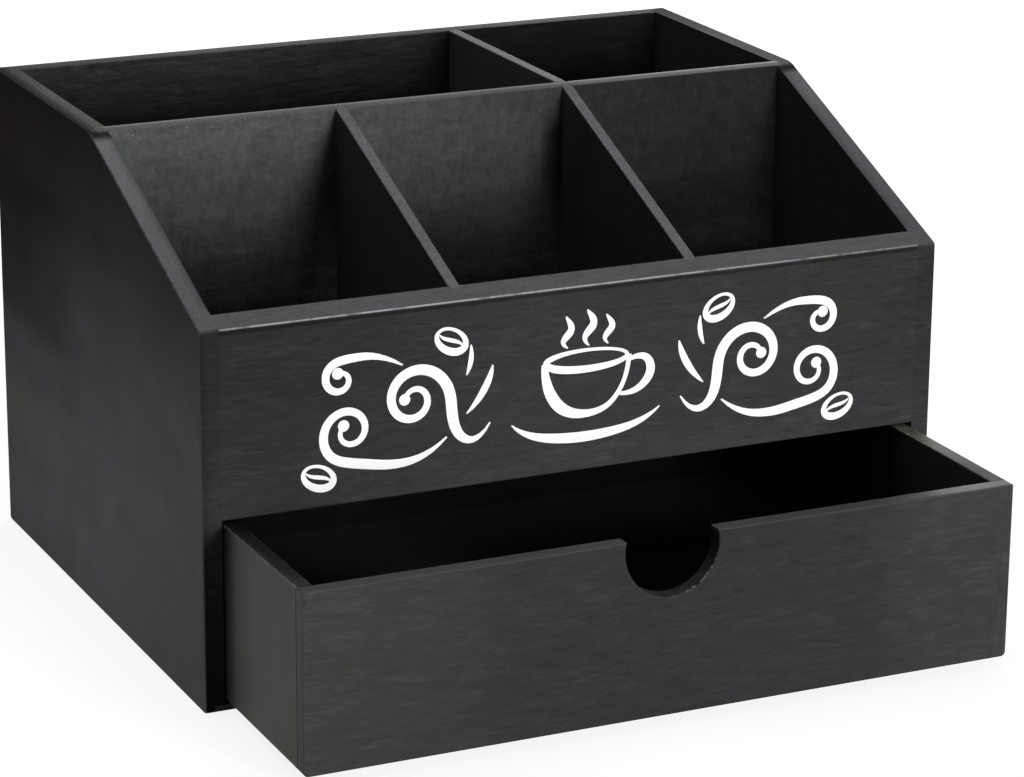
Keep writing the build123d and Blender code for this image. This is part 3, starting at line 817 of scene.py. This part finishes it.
# %% Drawer walls
def wall_marks(tree, tone, coat):
    """The wear of the two rims, and painted shade on the outer faces, darker towards the rear."""
    right_rim = product(tree, coat["top"], past(tree, "X", 100, 120))
    right_wear = calc(tree, "MULTIPLY_ADD", soft_step(tree, coat["mottle"], 0.35, 0.65), 4.2, 3.4)
    right_y = along(tree, "Y", (-198, 0.46), (-165, 0.30), (-130, 1.3), (35, 1.3))
    left_rim = product(tree, coat["top"], past(tree, "X", -100, -120))
    left_y = along(tree, "Y", (-198, 2.7), (-190, 2.0), (-178, 1.0), (-140, 0.95), (-125, 0.45), (35, 0.45))
    left_x = along(tree, "X", (-146.4, 1.9), (-145.2, 1.5), (-143.5, 0.95), (-139.9, 0.85))
    left_wear = product(tree, left_y, left_x, swing_of(tree, coat["mottle"], 0.5))
    wide = calc(tree, "ABSOLUTE", place_axis(tree, "X"))
    outer = product(tree, coat["side"], soft_step(tree, wide, 144 * mm, 145 * mm))
    # painted shade of the case on the outer faces, darker towards the rear
    by_y = along(tree, "Y", (-198, 1.10), (-150, 0.95), (-137, 0.64), (-121, 0.20), (35, 0.20))
    by_z = along(tree, "Z", (4, 1.06), (35, 1.04), (60, 0.95), (74, 0.88))
    return product(tree, tone, only_on(tree, right_rim, product(tree, right_wear, right_y)),
                   only_on(tree, left_rim, left_wear), only_on(tree, outer, product(tree, by_y, by_z)))


def wall_tints(tree, hue, coat):
    """Yellowish on the right rim, olive low on the left wall's outer face."""
    right_rim = product(tree, coat["top"], past(tree, "X", 100, 120))
    hue = mix_tone(tree, right_rim, hue, (1.03, 1.02, 0.87))
    low = product(tree, coat["side"], past(tree, "X", -144, -145), past(tree, "Z", 45, 15))
    return mix_tone(tree, low, hue, (1.02, 1.03, 0.93))


# the strong corner lift is a painted highlight against the shade in the joint with the front
drawer_wall_paint = painted_wood("drawer_wall_paint", front=0.008, side=0.0245, top=0.010,
                                 corner_lift=3.0, own_marks=wall_marks, own_tint=wall_tints)
put_on(drawer_wall_paint, "drawer_left_side", "drawer_right_side", "drawer_back")

# %% [markdown]
# The three level sheets, which are the base, the drawer's bottom and the floor of the
# compartments, have one plain coat and no wear that can be seen. They could share the paint of
# the sides, but its marks are set by places that the sheets don't reach.

# %% Sheets
sheet_paint = painted_wood("sheet_paint", front=0.03, side=0.03, top=0.040)
put_on(sheet_paint, "base_panel", "drawer_bottom", "compartment_floor")

# %% [markdown]
# The brads are short steel pins, sunk below the surface and filled over, so none shows. They
# still get a finish, for whoever takes the model apart. A plain grey metal would do, but noise
# drawn out upwards costs one node and gives it the fine lines of drawn wire.

# %% Brads
brad_steel, tree = new_finish("brad_steel")
drawn = drawn_noise(tree, (900, 900, 90), detail=3)
wires = {"Base Color": mix_tone(tree, drawn, grey(0.42), grey(0.55)), "Metallic": 1.0,
         "Roughness": calc(tree, "MULTIPLY_ADD", drawn, 0.25, 0.28)}
shader = add(tree, "ShaderNodeBsdfPrincipled", wires)
add(tree, "ShaderNodeOutputMaterial", {"Surface": shader.outputs[0]})
put_on(brad_steel, *[name for name in boards if name.endswith("brads")])

# %% [markdown]
# The front carries a white ornament, put on as a thin transfer: a steaming cup on its saucer
# between scrolls, with coffee beans. Each line swells and thins as a broad pen's does. A traced
# picture would give a cut-out with stepped edges. Here a line is a short list of points with half
# a width at each. Ovals and spirals are too even for the hand, so formulas work them out.

# %% Ovals and spirals
oval_points, pen_swell, pen_slant = 12, 0.45, 2.2


def mirrored(points):
    return [(-u, v, half) for u, v, half in points]


def oval(u, v, wide, tall, half, lean=0.0):
    """A closed pen line round an oval, heavier on one side."""
    line = []
    for step in range(oval_points):
        turn = 2 * math.pi * step / oval_points
        a, b = wide * math.cos(turn), tall * math.sin(turn)
        line.append((u + a * math.cos(lean) - b * math.sin(lean),
                     v + a * math.sin(lean) + b * math.cos(lean),
                     half * (1 + pen_swell * math.cos(turn + pen_slant))))
    return line


def spiral(u, v, start, turns, far, near, heavy, light, count=14):
    """A pen line that winds in round a middle; turns below 0 go clockwise."""
    line = []
    for step in range(count):
        share = step / (count - 1)
        turn = math.radians(start) + 2 * math.pi * turns * share
        reach = far * (near / far) ** share
        line.append((u + reach * math.cos(turn), v + reach * math.sin(turn),
                     heavy + (light - heavy) * share))
    return line


# %% [markdown]
# The cup, its steam and the leaves have no formula, so their points are listed one by one, few enough that
# the curve between them stays smooth. The scrolls and beans at the two sides are the same, turned over, so
# only the right ones are listed and the left ones mirror them.

# %% Pen lines
# each point is millimetres across, millimetres up, and half the line's width
cup_lines = [
    [(-20, 9, 1.3), (-19.5, 1, 2.2), (-16, -8, 2.8), (-9, -14, 2.4), (0, -15.5, 1.7),
     (9, -14, 1.3), (15.5, -8, 1.1), (19.5, 1, 1.0), (20, 9, 1.2)],
    [(18.5, 6, 0.8), (26, 9.5, 1.3), (32, 4, 2.2), (29, -5, 2.0), (21, -9, 1.2), (15, -8, 0.7)],
    [(-35, -16, 0.3), (-29, -22, 1.5), (-12, -25.5, 2.5), (10, -25.5, 2.2), (28, -22, 1.4),
     (35, -16, 0.3)],
]
steam_lines = [
    [(-9, 15, 0.3), (-14, 18, 1.4), (-4, 22, 2.1), (-9, 27, 1.1), (-10, 29, 0.3)],
    [(1, 15, 0.3), (-4, 19, 1.5), (7, 24, 2.3), (1, 29, 1.2), (0, 31, 0.3)],
    [(10, 15, 0.3), (6, 18, 1.3), (15, 22, 1.9), (10, 26, 1.0), (9, 28, 0.3)],
]
winding_lines = [
    [(36, -13, 0.3), (41, -21, 1.2), (50, -20, 2.0), (54, -9, 2.6)]
    + spiral(71, 1, start=172, turns=-1.45, far=17.5, near=4.2, heavy=2.5, light=1.0),
    [(56, -17, 0.4), (64, -24, 1.3), (78, -27, 2.0), (92, -24, 2.3)]
    + spiral(100, -9, start=-60, turns=1.3, far=14.5, near=3.9, heavy=2.1, light=0.9),
    [(76, 17, 0.4), (86, 23, 1.3), (98, 23, 2.0)]
    + spiral(104, 14, start=70, turns=-1.0, far=8.5, near=3.0, heavy=1.9, light=0.9, count=10),
]
leaf_lines = [
    [(47, -8, 0.3), (41, -3, 1.7), (36, 5, 2.4), (35, 12, 0.3)],
    [(47, 9, 0.3), (44, 15, 2.0), (45, 22, 0.3)],
]
bean_places = [(54, 25, 0.5), (114, -27, 0.4)]
bean_wide, bean_tall, bean_line = 7.4, 4.8, 1.2
bean_seam = [(-6, 0, 0.3), (-2.5, 1.8, 1.1), (2.5, -1.8, 1.1), (6, 0, 0.3)]
cup_mouth = {"u": 0, "v": 9, "wide": 20, "tall": 4.4, "half": 1.2}
print("lines:", len(cup_lines + steam_lines), "single,", len(winding_lines + leaf_lines), "mirrored")

# %% [markdown]
# The pen is a curve object with a round bevel, so Blender sweeps a cord along each line, as thick
# at each point as the point's radius says. A NURBS curve runs smoothly near its points instead of
# through them, which hides the corners between them. Other splines could be bent as well, but
# they need handles on every point.

# %% Cords
transfer_scale, scroll_shift = 0.90, 8.0
cord_steps = 6
pen = bpy.data.curves.new("transfer", "CURVE")
pen.dimensions = "3D"
pen.bevel_depth, pen.bevel_resolution, pen.use_fill_caps = mm * transfer_scale, 2, True


def stroke(points, closed=False, shift=0.0):
    spline = pen.splines.new("NURBS")
    spline.points.add(len(points) - 1)
    for point, (u, v, half) in zip(spline.points, points):
        point.co = ((u * transfer_scale + shift) * mm, 0, v * transfer_scale * mm, 1)
        point.radius = half
    spline.order_u = min(4, len(points))
    spline.use_cyclic_u, spline.use_endpoint_u = closed, not closed
    spline.resolution_u = cord_steps


for points in cup_lines + steam_lines:
    stroke(points)
stroke(oval(**cup_mouth), closed=True)
for points in winding_lines + leaf_lines:
    stroke(points, shift=scroll_shift)
    stroke(mirrored(points), shift=-scroll_shift)
for u, v, lean in bean_places:
    c, s = math.cos(lean), math.sin(lean)
    seam = [(u + a * c - b * s, v + a * s + b * c, half) for a, b, half in bean_seam]
    shell = oval(u, v, bean_wide, bean_tall, bean_line, lean)
    stroke(shell, closed=True, shift=scroll_shift)
    stroke(mirrored(shell), closed=True, shift=-scroll_shift)
    stroke(seam, shift=scroll_shift)
    stroke(mirrored(seam), shift=-scroll_shift)

print("pen lines drawn:", len(pen.splines))

# %% [markdown]
# A transfer is a film with no thickness to speak of, but its edges still catch the light.
# A flat cut-out would lie in the board's own face and flicker. So the cords become a mesh that is
# pressed to a few hundredths of its depth, which leaves a low, rounded film. The half that would
# lie inside the wood is cut off along the board's face. A small ball ends each scroll.

# %% Pressed transfer
transfer_middle = (2.0, 112.0)
transfer_press = 0.035
ball_half, weld = 2.3, 0.001
cords = in_scene(bpy.data.objects.new("transfer_cords", pen))
bpy.context.view_layer.update()
transfer_mesh = bpy.data.meshes.new_from_object(
    cords.evaluated_get(bpy.context.evaluated_depsgraph_get()))
bpy.data.objects.remove(cords)
bm = bmesh.new()
bm.from_mesh(transfer_mesh)
for points in winding_lines:  # a round drop where each scroll ends
    u, v, half = points[-1]
    for side in (1, -1):
        spot = Vector((side * (u * transfer_scale + scroll_shift), 0, v * transfer_scale)) * mm
        bmesh.ops.create_uvsphere(bm, u_segments=16, v_segments=8, radius=ball_half * mm,
                                  matrix=Matrix.Translation(spot))
bmesh.ops.scale(bm, vec=(1, transfer_press, 1), verts=bm.verts)
bmesh.ops.remove_doubles(bm, verts=bm.verts, dist=weld * mm)
bmesh.ops.recalc_face_normals(bm, faces=bm.faces)
bmesh.ops.bisect_plane(bm, geom=bm.verts[:] + bm.edges[:] + bm.faces[:], plane_co=(0, 0, 0),
                       plane_no=(0, 1, 0), clear_outer=True)
middle = Vector((transfer_middle[0] * mm, front_face_y, transfer_middle[1] * mm))
bmesh.ops.translate(bm, vec=middle, verts=bm.verts)
for face in bm.faces:
    face.smooth = True
bm.to_mesh(transfer_mesh)
print("transfer triangles:", sum(len(face.verts) - 2 for face in bm.faces))
bm.free()
transfer = in_scene(bpy.data.objects.new("transfer", transfer_mesh))
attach(transfer, "case")

# %% [markdown]
# The film is white, a little uneven and half matt. A plain white would do from afar. The slight
# noise in its tone and gloss keeps it from looking cut out when it is seen close up.

# %% Transfer finish
white_transfer, tree = new_finish("white_transfer")
film = drawn_noise(tree, (160, 160, 160), detail=3)
wires = {"Base Color": mix_tone(tree, film, grey(0.88), grey(0.93)),
         "Roughness": calc(tree, "MULTIPLY_ADD", film, 0.15, 0.45), "Specular IOR Level": 0.3}
shader = add(tree, "ShaderNodeBsdfPrincipled", wires)
add(tree, "ShaderNodeOutputMaterial", {"Surface": shader.outputs[0]})
transfer_mesh.materials.clear()
transfer_mesh.materials.append(white_transfer)
print("transfer finish:", [slot.name for slot in transfer_mesh.materials])
